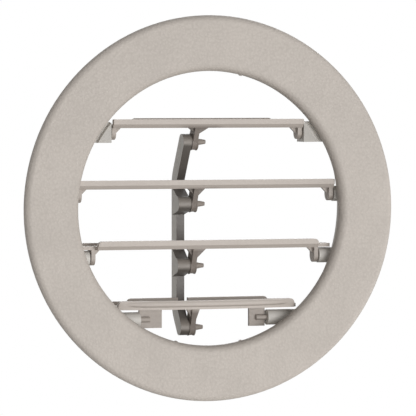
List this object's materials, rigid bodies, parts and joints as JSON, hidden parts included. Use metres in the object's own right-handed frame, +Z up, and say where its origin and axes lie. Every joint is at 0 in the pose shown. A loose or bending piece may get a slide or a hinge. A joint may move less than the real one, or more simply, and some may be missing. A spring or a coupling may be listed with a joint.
{
  "type": "dashboard air vent",
  "caption": "Round dashboard air vent: grained bezel ring over a snap-in pivot carrier, with tilting vanes joined by a link bar.",
  "frame": {"origin": "on the ring's axis, in the plane where the back of the ring's rim seats on the dash", "axes": "+X right along the vane pivots as seen from the cabin, +Y into the dash, +Z up"},
  "size_m": [0.11, 0.0225, 0.11],
  "materials": {
    "grained_trim": "fine moulded grain, warm grey",
    "vane_plastic": "satin moulded, warm grey",
    "carrier_plastic": "satin moulded, grey",
    "link_plastic": "satin moulded, darker grey"
  },
  "bodies": {
    "frame": {"bezel_ring": "grained_trim", "pivot_carrier": "carrier_plastic"},
    "top_vane": {"top_vane": "vane_plastic"},
    "upper_vane": {"upper_vane": "vane_plastic"},
    "lower_vane": {"lower_vane": "vane_plastic"},
    "bottom_vane": {"bottom_vane": "vane_plastic"},
    "link": {"link_bar": "link_plastic"}
  },
  "joints": [
    {"name": "upper_vane_tilt", "type": "hinge", "parent": "frame", "child": "upper_vane", "pos_m": [0, 0.00455, 0.0038], "axis": [1, 0, 0], "range_deg": [-25, 20]},
    {"name": "top_vane_tilt", "type": "hinge", "parent": "frame", "child": "top_vane", "pos_m": [0, 0.0037, 0.0216], "axis": [1, 0, 0], "range_deg": [-25, 20]},
    {"name": "lower_vane_tilt", "type": "hinge", "parent": "frame", "child": "lower_vane", "pos_m": [0, 0.0054, -0.014], "axis": [1, 0, 0], "range_deg": [-25, 20]},
    {"name": "bottom_vane_tilt", "type": "hinge", "parent": "frame", "child": "bottom_vane", "pos_m": [0, 0.00625, -0.0318], "axis": [1, 0, 0], "range_deg": [-25, 20]},
    {"name": "link_swing", "type": "hinge", "parent": "upper_vane", "child": "link", "pos_m": [0, 0.00945, 0.00105], "axis": [1, 0, 0], "range_deg": [-20, 25]}
  ],
  "couplings": [
    {"joint": "top_vane_tilt", "follows": "upper_vane_tilt", "ratio": 1},
    {"joint": "lower_vane_tilt", "follows": "upper_vane_tilt", "ratio": 1},
    {"joint": "bottom_vane_tilt", "follows": "upper_vane_tilt", "ratio": 1},
    {"joint": "link_swing", "follows": "upper_vane_tilt", "ratio": -1}
  ]
}
